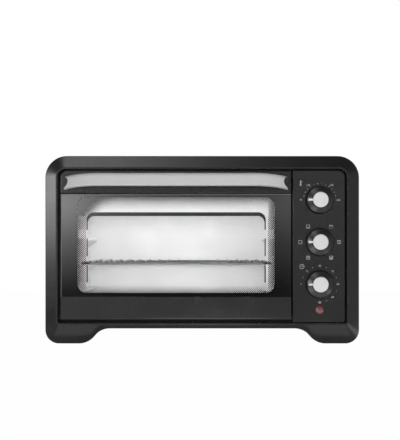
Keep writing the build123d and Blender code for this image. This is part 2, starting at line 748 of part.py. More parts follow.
def wire_rack():
    """Rod loop with thinner wires welded on top, front to back, and a cross rod below."""
    width, depth = 2 * RACK_HALF - RACK_ROD_D, RACK_DEPTH - RACK_ROD_D
    middle = (DOOR_X, deep(RACK_Y + RACK_DEPTH / 2), RACK_Z)
    loop = (Plane(middle) * RectangleRounded(width, depth, RACK_CORNER_R)).wire()
    section = Plane(loop @ 0, z_dir=loop % 0) * Circle(RACK_ROD_D / 2)
    rack = sweep(section, path=loop)
    wire_z = RACK_Z + (RACK_ROD_D + RACK_WIRE_D) / 2 - RACK_WELD
    near, far = RACK_Y + RACK_ROD_D / 2, RACK_Y + RACK_DEPTH - RACK_ROD_D / 2
    count = int((width - 2 * RACK_CORNER_R) / RACK_WIRE_PITCH + SAME_PLANE) + 1
    wires = [
        rod_y(DOOR_X + (i - (count - 1) / 2) * RACK_WIRE_PITCH, wire_z, near, far, RACK_WIRE_D / 2)
        for i in range(count)
    ]
    cross = rod_x(DOOR_X - width / 2, DOOR_X + width / 2, (near + far) / 2, RACK_Z, RACK_ROD_D / 2)
    return rack.fuse(cross, *wires)


# Door


def rail_groove(z0, z1):
    """Slot in a rail for an edge of the glass."""
    near, far = GLASS_Y - GLASS_FIT, GLASS_Y + GLASS_T + GLASS_FIT
    return block(DOOR_LEFT, DOOR_RIGHT, near, far, z0, z1)


def rail_pockets(z0, z1):
    """Moulded pockets in the back of a rail, between ribs."""
    start, end = DOOR_LEFT + PIN_DEPTH + RAIL_RIB, DOOR_RIGHT - PIN_DEPTH - RAIL_RIB
    pitch = (end - start) / RAIL_POCKETS
    near = FACE_SET + RAIL_SKIN
    return [
        block(start + i * pitch + RAIL_RIB, start + (i + 1) * pitch, near, DOOR_BACK, z0, z1)
        for i in range(RAIL_POCKETS)
    ]


def handle_posts_x():
    reach = (DOOR_RIGHT - DOOR_LEFT) / 2 - HANDLE_INSET - POST_INSET
    return [DOOR_X - reach, DOOR_X + reach]


def handle_seat_z():
    return TOP_RAIL_Z + HANDLE_Z


def door_top_rail():
    corner = OPENING_R_TOP - DOOR_GAP_TOP
    rail = block(DOOR_LEFT, DOOR_RIGHT, FACE_SET, DOOR_BACK, TOP_RAIL_Z, DOOR_TOP)
    upright = rail.edges().filter_by(Axis.Y).group_by(Axis.Z)[-1].sort_by(Axis.X)
    rail = fillet(upright[0], corner)
    rail = fillet(edges_at_depth(rail, FACE_SET), RAIL_EDGE_R)
    rail -= rail_groove(TOP_RAIL_Z, TOP_RAIL_Z + GLASS_GRIP + PAD_T)
    pocket_z = TOP_RAIL_Z + GLASS_GRIP + PAD_T + RAIL_RIB
    rail -= rail_pockets(pocket_z, DOOR_TOP - RAIL_RIB)
    for x in handle_posts_x():
        rail -= rod_y(x, handle_seat_z(), FACE_SET, DOOR_BACK, SCREW_D / 2 + SCREW_FIT)
    return rail


def door_bottom_rail():
    rail = block(DOOR_LEFT, DOOR_RIGHT, FACE_SET, DOOR_BACK, DOOR_BOTTOM, BOTTOM_RAIL_TOP)
    toe = edges_at_depth(rail, FACE_SET).sort_by(Axis.Z)[0]
    rail = fillet(toe, RAIL_TOE_R)
    brow = edges_at_depth(rail, FACE_SET).sort_by(Axis.Z)[-1]
    rail = fillet(brow, RAIL_EDGE_R)
    groove = BOTTOM_RAIL_TOP - GLASS_GRIP - PAD_T
    rail -= rail_groove(groove, BOTTOM_RAIL_TOP)
    rail -= rail_pockets(HINGE_Z + PIN_D, groove - RAIL_RIB)
    for x0, x1 in hinge_pin_spans():
        rail -= rod_x(max(x0, DOOR_LEFT), min(x1, DOOR_RIGHT), HINGE_Y, HINGE_Z, PIN_D / 2 + PIN_FIT)
    return rail


def door_glass():
    low, high = BOTTOM_RAIL_TOP - GLASS_GRIP, TOP_RAIL_Z + GLASS_GRIP
    pane = block(DOOR_LEFT, DOOR_RIGHT, GLASS_Y, GLASS_Y + GLASS_T, low, high)
    return chamfer(edges_at_depth(pane, GLASS_Y), GLASS_EDGE)


def glass_pads():
    """Heat-proof pads between the ends of the glass and the floors of the grooves."""
    low, high = BOTTOM_RAIL_TOP - GLASS_GRIP - PAD_T, TOP_RAIL_Z + GLASS_GRIP
    pads = []
    for side in (-1, 1):
        x = DOOR_X + side * (DOOR_RIGHT - DOOR_LEFT) / 4
        for z in (low, high):
            pads.append(
                block(x - PAD_LENGTH / 2, x + PAD_LENGTH / 2, GLASS_Y, GLASS_Y + GLASS_T, z, z + PAD_T)
            )
    return pads


def hinge_pin_spans():
    """X from end to end of each hinge pin."""
    out = BRACKET_GAP + BRACKET_T
    return [(DOOR_LEFT - out, DOOR_LEFT + PIN_DEPTH), (DOOR_RIGHT - PIN_DEPTH, DOOR_RIGHT + out)]


def hinge_pins():
    return [rod_x(x0, x1, HINGE_Y, HINGE_Z, PIN_D / 2) for x0, x1 in hinge_pin_spans()]


def hinge_bracket(side):
    """Steel ear for a hinge pin, with its foot on the front plate."""
    inner = DOOR_RIGHT + BRACKET_GAP if side > 0 else DOOR_LEFT - BRACKET_GAP
    x0, x1 = sorted((inner, inner + side * BRACKET_T))
    low = HINGE_Z - BRACKET_EYE_R
    ear = block(x0, x1, HINGE_Y, PLATE_Y, low, HINGE_Z + BRACKET_EYE_R)
    ear += rod_x(x0, x1, HINGE_Y, HINGE_Z, BRACKET_EYE_R)
    ear -= rod_x(x0, x1, HINGE_Y, HINGE_Z, PIN_D / 2 + PIN_FIT)
    f0, f1 = sorted((inner, inner + side * BRACKET_FOOT))
    bracket = ear + block(f0, f1, PLATE_Y - BRACKET_T, PLATE_Y, low, low + BRACKET_H)
    for x, z in bracket_screw_places():
        if f0 < x < f1:
            bracket -= rod_y(x, z, PLATE_Y - BRACKET_T, PLATE_Y, SCREW_D / 2 + SCREW_FIT)
    return bracket


def bracket_screw_places():
    out = BRACKET_GAP + (BRACKET_T + BRACKET_FOOT) / 2
    z = HINGE_Z - BRACKET_EYE_R + BRACKET_H - SCREW_HEAD_D / 2 - CASE_T
    return [(DOOR_LEFT - out, z), (DOOR_RIGHT + out, z)]


def bracket_screws():
    front = PLATE_Y - BRACKET_T
    tip = PLATE_BACK + FLANGE / 2
    return [screw_y(x, z, front - SCREW_HEAD_H, front, tip) for x, z in bracket_screw_places()]


# Handle


def handle_plane():
    """Plane of the handle's bow: local x is X, local y points out of the door, tipped up."""
    tilt = math.radians(HANDLE_TILT)
    origin = (DOOR_X, deep(FACE_SET), handle_seat_z() - HANDLE_SAG)
    return Plane(origin, x_dir=(-1, 0, 0), z_dir=(0, math.sin(tilt), math.cos(tilt)))


def handle_bow():
    """Half length of the bow, then height of the end arcs' centres and their radius."""
    half = (DOOR_RIGHT - DOOR_LEFT) / 2 - HANDLE_INSET
    tilt = math.radians(HANDLE_TILT)
    low_edge = (HANDLE_H / 2 - HANDLE_EDGE_R) * math.sin(tilt)
    reach = (HANDLE_REACH + FACE_SET - HANDLE_EDGE_R - low_edge) / math.cos(tilt) + HANDLE_EDGE_R
    run, fall = half - HANDLE_STRAIGHT / 2, reach - HANDLE_END_REACH
    radius = (run**2 + fall**2) / (2 * fall)
    return half, reach - radius, radius


def handle_bar():
    """Bowed bar with a round brow, fishtail ends and a flat back where it nears the rail."""
    half, centre_y, outer = handle_bow()
    centre_x, inner = HANDLE_STRAIGHT / 2, outer - HANDLE_T
    outline = make_face(
        [
            Line((-centre_x, centre_y + outer), (centre_x, centre_y + outer)),
            CenterArc((centre_x, centre_y), outer, 90, -90),
            Line((centre_x + outer, centre_y), (centre_x + inner, centre_y)),
            CenterArc((centre_x, centre_y), inner, 0, 90),
            Line((centre_x, centre_y + inner), (-centre_x, centre_y + inner)),
            CenterArc((-centre_x, centre_y), inner, 90, 90),
            Line((-centre_x - inner, centre_y), (-centre_x - outer, centre_y)),
            CenterArc((-centre_x, centre_y), outer, 180, -90),
        ]
    )
    bar = extrude(outline, amount=HANDLE_H / 2, both=True)

    def along(z, radius):
        """Edges of the bar that follow the bow at a height and a radius."""
        chosen = []
        for edge in bar.edges():
            middle = edge.position_at(0.5)
            across = math.hypot(max(abs(middle.X) - centre_x, 0), middle.Y - centre_y)
            if abs(middle.Z - z) < SAME_PLANE and abs(across - radius) < SAME_PLANE:
                chosen.append(edge)
        return chosen

    top, bottom = HANDLE_H / 2, -HANDLE_H / 2
    bar = fillet(along(top, outer), HANDLE_BROW_R)
    bar = fillet(along(top, inner) + along(bottom, outer) + along(bottom, inner), HANDLE_EDGE_R)
    notch_r = (top**2 + FISHTAIL**2) / (2 * FISHTAIL)
    notch = Rot(90, 0, 0) * Cylinder(notch_r, 2 * (HANDLE_REACH + HANDLE_T))
    for side in (-1, 1):
        bar -= Pos(side * (half + notch_r - FISHTAIL), 0, 0) * notch
    near, far = FACE_SET - HANDLE_REACH - HANDLE_T, FACE_SET - HANDLE_GAP
    ahead = block(DOOR_X - half, DOOR_X + half, near, far, OPENING_Z, FASCIA_H)
    return handle_plane() * bar & ahead


def handle_hollow():
    """Space on the door's side of the bar, out to its hollow face."""
    half, centre_y, outer = handle_bow()
    centre_x, inner = HANDLE_STRAIGHT / 2, outer - HANDLE_T
    flat = Pos(0, centre_y) * Rectangle(2 * centre_x, 2 * inner)
    for side in (-1, 1):
        flat += Pos(side * centre_x, centre_y) * Circle(inner)
    return handle_plane() * extrude(flat, amount=HANDLE_H, both=True)


def handle_post(x):
    """Round post between the top rail and the hollow side of the bar."""
    post = rod_y(x, handle_seat_z(), FACE_SET - HANDLE_REACH, FACE_SET, POST_D / 2) & handle_hollow()
    return post - rod_y(x, handle_seat_z(), FACE_SET - SCREW_BITE, FACE_SET, SCREW_D / 2)


def handle_screws():
    seat = FACE_SET + RAIL_SKIN
    tip = FACE_SET - SCREW_BITE
    return [screw_y(x, handle_seat_z(), seat, seat + SCREW_HEAD_H, tip) for x in handle_posts_x()]


# Control panel and lamp


def panel_outline(inset):
    """Front view of the control panel, square on the door side."""
    x0, x1, z0, z1 = PANEL_LEFT + inset, PANEL_RIGHT - inset, PANEL_BOTTOM + inset, PANEL_TOP - inset
    shape = rect(x0, x1, z0, z1)
    low, high = shape.vertices().sort_by(Axis.X)[-2:].sort_by(Axis.Y)
    shape = fillet(high, PANEL_CORNER_R - inset)
    low = shape.vertices().filter_by(lambda v: v.X > x1 - SAME_PLANE).sort_by(Axis.Y)[0]
    return fillet(low, PANEL_LOW_R - inset)


def panel_post_places():
    xs = (PANEL_LEFT + PANEL_POST_INSET_X, PANEL_RIGHT - PANEL_POST_INSET_X)
    zs = (PANEL_BOTTOM + PANEL_POST_INSET_Z, PANEL_TOP - PANEL_POST_INSET_Z)
    return [(x, z) for x in xs for z in zs]


def control_panel():
    back = FACE_SET + PANEL_T
    panel = slab(panel_outline(0), FACE_SET, FACE_SET + PANEL_SKIRT)
    panel = fillet(edges_at_depth(panel, FACE_SET), PANEL_EDGE_R)
    panel -= slab(panel_outline(PANEL_T), back, FACE_SET + PANEL_SKIRT)
    for x, z in panel_post_places():
        panel += rod_y(x, z, back, PLATE_Y, PANEL_POST_R)
        panel -= rod_y(x, z, PLATE_Y - SCREW_BITE, PLATE_Y, SCREW_D / 2)
    for z in KNOB_ZS.values():
        panel -= rod_y(KNOB_X, z, FACE_SET, back, SHAFT_HOLE_D / 2)
    return panel - rod_y(KNOB_X, LAMP_Z, FACE_SET, back, LAMP_NECK_R + BUSH_FIT)


def panel_screws():
    return back_screws(panel_post_places())


def indicator_lens():
    """Domed lens on the panel face with a neck through it, turned about its axis."""
    dome_r = (LAMP_R**2 + LAMP_DOME**2) / (2 * LAMP_DOME)
    dome_turn = math.asin(LAMP_R / dome_r) / 2
    dome_mid = (dome_r * math.sin(dome_turn), LAMP_DOME - dome_r * (1 - math.cos(dome_turn)))
    neck = -PANEL_T - LAMP_NECK_L
    profile = make_face(
        [
            Line((0, neck), (LAMP_NECK_R, neck)),
            Line((LAMP_NECK_R, neck), (LAMP_NECK_R, 0)),
            Line((LAMP_NECK_R, 0), (LAMP_R, 0)),
            ThreePointArc((LAMP_R, 0), dome_mid, (0, LAMP_DOME)),
            Line((0, LAMP_DOME), (0, neck)),
        ]
    )
    outward = Plane((KNOB_X, deep(FACE_SET), LAMP_Z), x_dir=(1, 0, 0), z_dir=(0, 0, -1))
    return outward * revolve(profile, Axis.Y)


def indicator_holder():
    back = FACE_SET + PANEL_T
    body = rod_y(KNOB_X, LAMP_Z, back, back + LAMP_BODY_L, LAMP_BODY_R)
    return body - rod_y(KNOB_X, LAMP_Z, back, back + LAMP_NECK_L, LAMP_NECK_R + BUSH_FIT)


# Knobs. Heights are counted from a knob's open side, and its pointer lies along local x.


def knob_place(z):
    return Plane((KNOB_X, deep(KNOB_Y), z), x_dir=(-1, 0, 0), z_dir=(0, -1, 0))


def shaft_section(grow):
    """Round shaft end with a flat."""
    across = SHAFT_D / 2 + grow
    flat = across - SHAFT_FLAT
    return Circle(across) - Pos(flat + across, 0) * Rectangle(2 * across, 2 * across)


def upright(radius, low, high):
    return Pos(0, 0, (low + high) / 2) * Cylinder(radius, high - low)


def pointer_rib():
    """White rib that runs down the flank from the cap."""
    slope = (KNOB_H - KNOB_SKIRT_H) / (KNOB_R - KNOB_DRAFT - KNOB_TOP_R)
    tip_h = KNOB_H - (POINTER_R - KNOB_TOP_R) * slope
    spine = [(CAP_R - CAP_SEAT, KNOB_H), (KNOB_TOP_R, KNOB_H), (POINTER_R, tip_h)]
    outline = [(x, h + POINTER_PROUD) for x, h in spine] + [(x, h - POINTER_SEAT) for x, h in spine[::-1]]
    side = Plane.XZ * make_face(Polyline(outline, close=True))
    return extrude(side, amount=POINTER_W / 2, both=True)


def cap_shape():
    cap = upright(CAP_R, KNOB_H - CAP_SEAT, KNOB_H + CAP_PROUD)
    return fillet(cap.edges().group_by(Axis.Z)[-1], CAP_EDGE_R) + pointer_rib()


def bore_top():
    return KNOB_H - CAP_SEAT - KNOB_WALL


def knob(z):
    """Skirt, sloping flank and flat top, hollow from behind round a boss."""
    profile = [(0, 0), (KNOB_R, 0), (KNOB_R - KNOB_DRAFT, KNOB_SKIRT_H), (KNOB_TOP_R, KNOB_H), (0, KNOB_H)]
    body = revolve(Plane.XZ * make_face(Polyline(profile, close=True)), Axis.Z)
    rims = [e for e in body.edges().filter_by(GeomType.CIRCLE) if e.position_at(0).Z > SAME_PLANE]
    body = fillet(rims, KNOB_EDGE_R)
    hollow_h = KNOB_SKIRT_H - KNOB_WALL
    body -= upright(KNOB_R - KNOB_DRAFT - KNOB_WALL, 0, hollow_h) - upright(BOSS_R, 0, hollow_h)
    body -= extrude(shaft_section(SHAFT_FIT), amount=bore_top())
    return knob_place(z) * (body - cap_shape())


def knob_cap(z):
    return knob_place(z) * cap_shape()


def knob_shaft(z):
    """Shaft from inside the knob to inside its control, flat where the knob grips it."""
    shaft = extrude(shaft_section(0), amount=bore_top() - KNOB_GAP)
    shaft += upright(SHAFT_D / 2, KNOB_Y - PLATE_BACK - SHAFT_BURIED, 0)
    return knob_place(z) * shaft


# Controls behind the front plate


def control_screw_places():
    half = CONTROL_SCREW_PITCH / 2
    return [(KNOB_X + side * half, z) for z in KNOB_ZS.values() for side in (-1, 1)]


def control_screws():
    tip = PLATE_BACK + SCREW_BITE
    head = PLATE_Y - SCREW_HEAD_H
    return [screw_y(x, z, head, PLATE_Y, tip) for x, z in control_screw_places()]


def bored(body):
    """A control with the bores for its shaft and screws."""
    for z in KNOB_ZS.values():
        body -= rod_y(KNOB_X, z, PLATE_BACK, PLATE_BACK + SHAFT_BURIED + KNOB_GAP, SHAFT_D / 2 + SHAFT_FIT)
    for x, z in control_screw_places():
        body -= rod_y(x, z, PLATE_BACK, PLATE_BACK + SCREW_BITE, SCREW_D / 2)
    return body


def control_block(z, width, height, near, far):
    return block(KNOB_X - width / 2, KNOB_X + width / 2, near, far, z - height / 2, z + height / 2)


def thermostat():
    """Base with a contact stack behind one end and an adjuster behind the other."""
    z, far = KNOB_ZS["temperature"], PLATE_BACK + CONTROL_BASE
    body = control_block(z, THERMOSTAT_W, THERMOSTAT_H, PLATE_BACK, far)
    shift = (THERMOSTAT_W - STACK_W) / 2
    body += Pos(shift, 0, 0) * control_block(z, STACK_W, THERMOSTAT_H, far, PLATE_BACK + THERMOSTAT_L)
    body += rod_y(KNOB_X, z, far, far + STACK_W / 2, STACK_W / 2)
    return bored(body)


def function_switch():
    """Square base with a round drum and a ring of terminal tabs."""
    z, far = KNOB_ZS["function"], PLATE_BACK + SWITCH_L
    body = control_block(z, SWITCH_W, SWITCH_W, PLATE_BACK, PLATE_BACK + CONTROL_BASE)
    body += rod_y(KNOB_X, z, PLATE_BACK + CONTROL_BASE, far, SWITCH_W / 2 - CASE_T)
    for place in PolarLocations(SWITCH_W / 3, SWITCH_TABS):
        x, height = place.position.X, place.position.Y
        body += Pos(x, 0, height) * control_block(z, TAB_T, TAB_W, far, far + TAB_L)
    return bored(body)


def timer():
    z = KNOB_ZS["timer"]
    body = control_block(z, TIMER_W, TIMER_W, PLATE_BACK, PLATE_BACK + TIMER_L)
    body = fillet(body.edges().filter_by(Axis.Y), TIMER_CORNER_R)
    far = PLATE_BACK + TIMER_L
    return bored(body + rod_y(KNOB_X, z, far, far + BELL_GAP + BELL_H - BELL_T, SHAFT_D / 2))


def timer_bell():
    """Shallow bell on the timer's post, open to the timer."""
    z, near = KNOB_ZS["timer"], PLATE_BACK + TIMER_L + BELL_GAP
    bell = rod_y(KNOB_X, z, near, near + BELL_H, BELL_R)
    bell = fillet(edges_at_depth(bell, near + BELL_H), BELL_EDGE_R)
    hollow = rod_y(KNOB_X, z, near, near + BELL_H - BELL_T, BELL_R - BELL_T)
    hollow = fillet(edges_at_depth(hollow, near + BELL_H - BELL_T), BELL_EDGE_R - BELL_T)
    return bell - hollow


# Pieces, one file to each


def pieces():
    made = {
        "front_frame": front_frame(),
        "frame_screws": frame_screws(),
        "front_plate": front_plate(),
        "outer_case": outer_case(),
        "base_plate": base_plate(),
        "rear_cover": rear_cover(),
        "rear_screws": rear_screws(),
        "rear_foot_left": rear_foot(-1),
        "rear_foot_right": rear_foot(1),
        "foot_screws": foot_screws(),
        "cord_gland": cord_gland(),
        "oven_front": oven_front(),
        "mouth_shield": mouth_shield(),
        "cavity_left_wall": cavity_wall(-1),
        "cavity_right_wall": cavity_wall(1),
        "cavity_ceiling": cavity_ceiling(),
        "cavity_floor": cavity_floor(),
        "cavity_back": cavity_back(),
        "heater_insulators": heater_bushes(),
        "heater_terminals": heater_tabs(),
        "wire_rack": wire_rack(),
        "door_top_rail": door_top_rail(),
        "door_bottom_rail": door_bottom_rail(),
        "door_glass": door_glass(),
        "glass_pads": glass_pads(),
        "hinge_bracket_left": hinge_bracket(-1),
        "hinge_bracket_right": hinge_bracket(1),
        "bracket_screws": bracket_screws(),
        "handle_bar": handle_bar(),
        "handle_screws": handle_screws(),
        "control_panel": control_panel(),
        "panel_screws": panel_screws(),
        "indicator_lens": indicator_lens(),
        "indicator_holder": indicator_holder(),
        "control_screws": control_screws(),
        "thermostat": thermostat(),
        "function_switch": function_switch(),
        "timer": timer(),
        "timer_bell": timer_bell(),
    }
    made["upper_heater_front"], made["upper_heater_rear"] = heaters(UPPER_HEATER_Z)
    made["lower_heater_front"], made["lower_heater_rear"] = heaters(LOWER_HEATER_Z)
    made["hinge_pin_left"], made["hinge_pin_right"] = hinge_pins()
    for side, x in zip(("left", "right"), handle_posts_x()):
        made["handle_post_" + side] = handle_post(x)
    for name, z in KNOB_ZS.items():
        made[name + "_knob"] = knob(z)
        made[name + "_cap"] = knob_cap(z)
        made[name + "_shaft"] = knob_shaft(z)
    return made


os.makedirs("parts", exist_ok=True)
for node, shape in pieces().items():
    if isinstance(shape, list):
        shape = Compound(children=shape)
    export_step(shape, "parts/" + node + ".step")
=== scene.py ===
import json
import math

import bmesh
import bpy
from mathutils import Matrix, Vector


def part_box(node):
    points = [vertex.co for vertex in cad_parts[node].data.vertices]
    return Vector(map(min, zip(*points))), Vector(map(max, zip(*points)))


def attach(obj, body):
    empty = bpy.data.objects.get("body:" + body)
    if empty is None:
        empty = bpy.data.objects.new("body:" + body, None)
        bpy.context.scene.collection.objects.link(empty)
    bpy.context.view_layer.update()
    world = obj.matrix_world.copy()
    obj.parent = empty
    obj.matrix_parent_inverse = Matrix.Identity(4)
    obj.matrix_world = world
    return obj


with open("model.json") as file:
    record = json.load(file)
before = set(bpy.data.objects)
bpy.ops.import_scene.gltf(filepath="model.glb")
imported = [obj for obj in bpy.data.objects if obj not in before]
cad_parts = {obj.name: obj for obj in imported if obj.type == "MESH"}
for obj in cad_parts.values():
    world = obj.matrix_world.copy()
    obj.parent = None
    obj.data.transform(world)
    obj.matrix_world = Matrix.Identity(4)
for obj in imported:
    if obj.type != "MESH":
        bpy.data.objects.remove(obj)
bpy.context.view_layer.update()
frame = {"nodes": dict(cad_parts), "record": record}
nodes = frame["nodes"]
MM = 0.001


# Materials

# Noise levels between which roughness and tone change
ROUGH_FROM, ROUGH_TO = 0.3, 0.7
TONE_FROM, TONE_TO = 0.32, 0.68
COAT_ROUGH = 0.08
# Door pane: its refractive index, and the light let through where it is smeared and where it is clean
PANE_IOR = 1.36
PANE_SMEARED, PANE_CLEAN = 0.945, 0.965
# Painted shade along the front edge of the cavity's side walls: its width, its blend and its tone
WALL_SHADE_W, WALL_SHADE_BLEND = 1.0 * MM, 0.5 * MM
WALL_SHADE_TONE = 0.02


def socket(tree, node, name, value):
    """Sets a constant on a socket, or links a node output to it."""
    if isinstance(value, bpy.types.NodeSocket):
        tree.links.new(value, node.inputs[name])
    else:
        node.inputs[name].default_value = value


def add(tree, kind, **inputs):
    """New shader node with its inputs set or linked."""
    node = tree.nodes.new(kind)
    for name, value in inputs.items():
        socket(tree, node, name.replace("_", " "), value)
    return node


def new_material(name):
    material = bpy.data.materials.new(name)
    material.use_nodes = True
    tree = material.node_tree
    return material, tree, tree.nodes["Principled BSDF"]


def show(tree, shader, output="Material Output"):
    tree.links.new(shader, tree.nodes[output].inputs["Surface"])


def mixed(tree, share, first, second):
    """Blend of two shaders, all second where the share is one."""
    mix = tree.nodes.new("ShaderNodeMixShader")
    for place, source in enumerate((share, first, second)):
        tree.links.new(source, mix.inputs[place])
    return mix.outputs[0]


def grey(value):
    return (value, value, value)


def opaque(colour):
    return (*colour, 1)


def noise(tree, size, detail, stretch=(1, 1, 1)):
    """Noise with features of a size in millimetres, drawn out along an axis where asked."""
    coords = tree.nodes.new("ShaderNodeTexCoord")
    shrink = [1 / s for s in stretch]
    mapping = add(tree, "ShaderNodeMapping", Vector=coords.outputs["Object"], Scale=shrink)
    scale = 1 / (size * MM)
    texture = add(tree, "ShaderNodeTexNoise", Vector=mapping.outputs["Vector"], Scale=scale, Detail=detail)
    return texture.outputs["Fac"]


def along_y(tree, kind):
    """Y of the place being shaded, in one kind of texture coordinates."""
    coords = tree.nodes.new("ShaderNodeTexCoord")
    return add(tree, "ShaderNodeSeparateXYZ", Vector=coords.outputs[kind]).outputs["Y"]


def ramp(tree, value, start, end, low=0.0, high=1.0):
    """Straight change from low to high while a value goes from start to end."""
    node = add(tree, "ShaderNodeMapRange", Value=value, From_Min=start, From_Max=end)
    node.inputs["To Min"].default_value = low
    node.inputs["To Max"].default_value = high
    return node.outputs["Result"]


def two_tones(tree, shader, fac, first, second):
    """Base colour that wanders between two tones."""
    tones = tree.nodes.new("ShaderNodeValToRGB")
    for stop, place, tone in zip(tones.color_ramp.elements, (TONE_FROM, TONE_TO), (first, second)):
        stop.position = place
        stop.color = opaque(tone)
    tree.links.new(fac, tones.inputs["Fac"])
    tree.links.new(tones.outputs["Color"], shader.inputs["Base Color"])


def sheen(tree, shader, fac, rough, below, above):
    """Roughness that wanders a little below and above its middle value."""
    socket(tree, shader, "Roughness", ramp(tree, fac, ROUGH_FROM, ROUGH_TO, rough - below, rough + above))


def bumped(tree, shader, height, depth, strength):
    """Fine relief, with its depth in millimetres."""
    bump = add(tree, "ShaderNodeBump", Height=height, Strength=strength, Distance=depth * MM)
    tree.links.new(bump.outputs["Normal"], shader.inputs["Normal"])


def moulded(name, low, high, rough, grain=0.35, depth=0.02, tint=(1, 1, 1), coat=0.0):
    """Moulded plastic: a fine grain and a cloudy sheen."""
    material, tree, shader = new_material(name)
    cloud = noise(tree, size=38, detail=5.0)
    fine = noise(tree, size=grain, detail=2.0)
    tones = [tuple(v * t for t in tint) for v in (low, high)]
    two_tones(tree, shader, cloud, *tones)
    sheen(tree, shader, cloud, rough, below=0.03, above=0.04)
    shader.inputs["Coat Weight"].default_value = coat
    shader.inputs["Coat Roughness"].default_value = COAT_ROUGH
    bumped(tree, shader, fine, depth, strength=0.25)
    return material


def coated(name, low, high, rough, grain=0.9, depth=0.05, gloss=0.5):
    """Powder coat: orange-peel relief and faint scuffs."""
    material, tree, shader = new_material(name)
    peel = noise(tree, size=grain, detail=2.5)
    scuff = noise(tree, size=22, detail=6.0, stretch=(1, 3, 1))
    two_tones(tree, shader, scuff, grey(low), grey(high))
    sheen(tree, shader, scuff, rough, below=0.05, above=0.06)
    shader.inputs["Specular IOR Level"].default_value = gloss
    bumped(tree, shader, peel, depth, strength=0.4)
    return material


def sheet_metal(name, low, high, rough, metallic, along=(30, 1, 1), grain=0.25, depth=0.012, gloss=0.5):
    """Rolled sheet: streaks along one direction and a cloudy tone."""
    material, tree, shader = new_material(name)
    streak = noise(tree, size=grain, detail=4.0, stretch=along)
    cloud = noise(tree, size=45, detail=5.0)
    two_tones(tree, shader, cloud, grey(low), grey(high))
    sheen(tree, shader, streak, rough, below=0.06, above=0.06)
    shader.inputs["Metallic"].default_value = metallic
    shader.inputs["Specular IOR Level"].default_value = gloss
    bumped(tree, shader, streak, depth, strength=0.3)
    return material


def shaded_wall_sheet(name, low, high, rough, metallic, front):
    """Cavity wall: the same sheet, with painted shade along its front edge, which starts at front along Y.
    """
    material = sheet_metal(name, low, high, rough, metallic)
    tree = material.node_tree
    colour = tree.nodes["Principled BSDF"].inputs["Base Color"]
    bright = colour.links[0].from_socket
    # Painted shade: the wall turns near black just behind its front edge, then blends into the bare sheet.
    edge = front + WALL_SHADE_W
    share = ramp(tree, along_y(tree, "Object"), edge, edge + WALL_SHADE_BLEND)
    painted_shade = opaque(grey(WALL_SHADE_TONE))
    mix = add(tree, "ShaderNodeMixRGB", Fac=share, Color1=painted_shade, Color2=bright)
    tree.links.new(mix.outputs["Color"], colour)
    return material


def heated(name):
    """Heater sheath: dull steel with straw-coloured patches."""
    material, tree, shader = new_material(name)
    patch = noise(tree, size=24, detail=4.0, stretch=(3, 1, 1))
    fine = noise(tree, size=0.5, detail=3.0)
    two_tones(tree, shader, patch, first=(0.30, 0.28, 0.26), second=(0.42, 0.38, 0.32))
    sheen(tree, shader, fine, rough=0.45, below=0.07, above=0.07)
    shader.inputs["Metallic"].default_value = 0.85
    bumped(tree, shader, fine, depth=0.02, strength=0.4)
    return material


def clear_glass(name):
    """Door pane: clear, and lamps shine through it."""
    material, tree, shader = new_material(name)
    shader.inputs["Transmission Weight"].default_value = 1.0
    shader.inputs["IOR"].default_value = PANE_IOR
    shader.inputs["Roughness"].default_value = 0.0
    smear = noise(tree, size=55, detail=4.0)
    two_tones(tree, shader, smear, grey(PANE_SMEARED), grey(PANE_CLEAN))
    path = tree.nodes.new("ShaderNodeLightPath")
    clear = add(tree, "ShaderNodeBsdfTransparent", Color=opaque(grey(PANE_SMEARED)))
    show(tree, mixed(tree, path.outputs["Is Shadow Ray"], shader.outputs[0], clear.outputs[0]))
    return material


def lamp_lens(name):
    """Dark red lens of the indicator lamp."""
    material, tree, shader = new_material(name)
    cloud = noise(tree, size=3.0, detail=3.0)
    two_tones(tree, shader, cloud, first=(0.17, 0.04, 0.045), second=(0.24, 0.065, 0.07))
    sheen(tree, shader, cloud, rough=0.16, below=0.04, above=0.04)
    shader.inputs["Coat Weight"].default_value = 1.0
    shader.inputs["Subsurface Weight"].default_value = 0.2
    shader.inputs["Subsurface Radius"].default_value = (0.002, 0.0004, 0.0004)
    return material


def printed(name, low, high, rough, gloss=0.1):
    """Screen print and frit, also the pane's painted shadow and painted highlight strips: a slightly uneven
    tone.
    """
    material, tree, shader = new_material(name)
    ink = noise(tree, size=0.6, detail=3.0)
    two_tones(tree, shader, ink, grey(low), grey(high))
    sheen(tree, shader, ink, rough, below=0.05, above=0.05)
    shader.inputs["Specular IOR Level"].default_value = gloss
    return material


